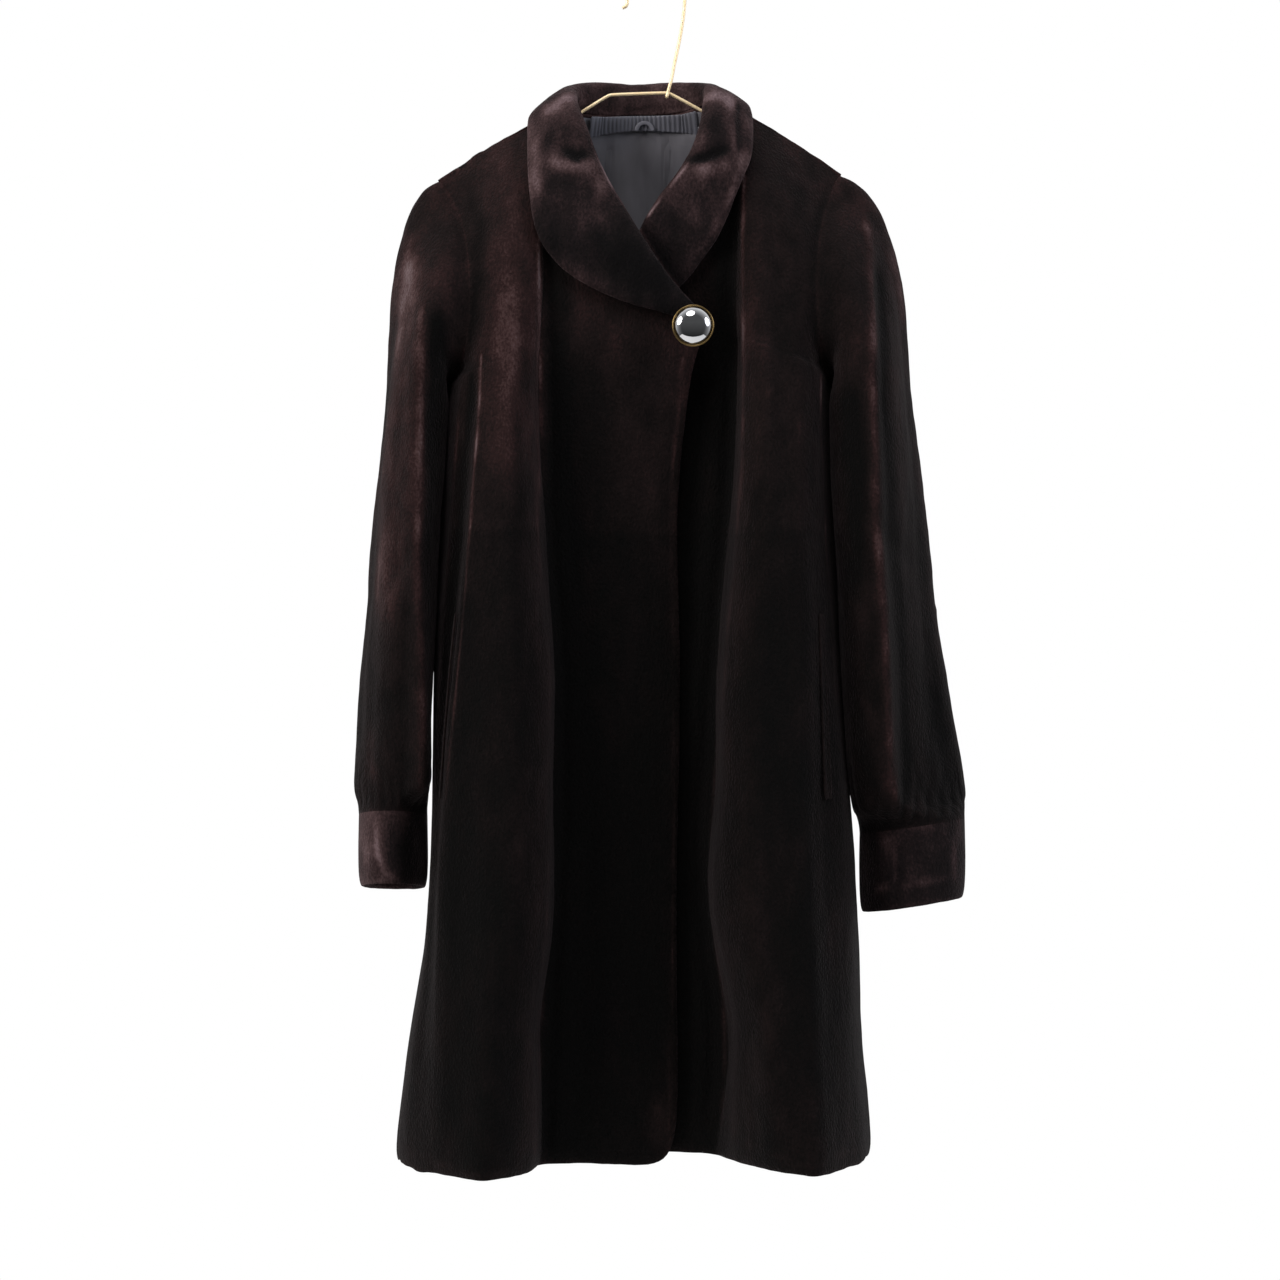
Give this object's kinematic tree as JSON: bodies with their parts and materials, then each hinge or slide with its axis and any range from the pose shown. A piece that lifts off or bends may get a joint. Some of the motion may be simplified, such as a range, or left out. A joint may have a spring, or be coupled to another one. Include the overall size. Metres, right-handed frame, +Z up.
{
  "type": "sheared mink coat on a wire hanger",
  "caption": "Knee-length sheared mink coat with a wide notchless shawl collar and turned-back cuffs, closed at one large round button and hanging still from a thin wire hanger.",
  "frame": {"origin": "inside apex of the hanger's hook, where a rail carries it", "axes": "+Z up, the coat faces -Y, the wearer's left is at +X"},
  "size_m": [0.5498, 0.214, 1.0626],
  "materials": {
    "sheared_mink": "short dense velvety pile",
    "lining_satin": "satin weave",
    "gold_wire": "polished",
    "mirror_metal": "mirror polished",
    "button_thread": "wound thread"
  },
  "bodies": {
    "root": {"front_right_lower": "sheared_mink", "front_right_upper": "sheared_mink", "front_left_lower": "sheared_mink", "front_left_upper": "sheared_mink", "back_lower": "sheared_mink", "back_upper": "sheared_mink", "sleeve_right_upper": "sheared_mink", "sleeve_right_lower": "sheared_mink", "sleeve_left_upper": "sheared_mink", "sleeve_left_lower": "sheared_mink", "cuff_right": "sheared_mink", "cuff_left": "sheared_mink", "collar_right": "sheared_mink", "collar_left": "sheared_mink", "pocket_right": "sheared_mink", "pocket_left": "sheared_mink", "lining_back": "lining_satin", "neck_band": "lining_satin", "hanging_loop": "lining_satin", "hanger_bar": "gold_wire", "hanger_arm_right": "gold_wire", "hanger_arm_left": "gold_wire", "hanger_hook": "gold_wire", "button_rim": "gold_wire", "button": "mirror_metal", "button_shank": "button_thread"}
  },
  "joints": []
}
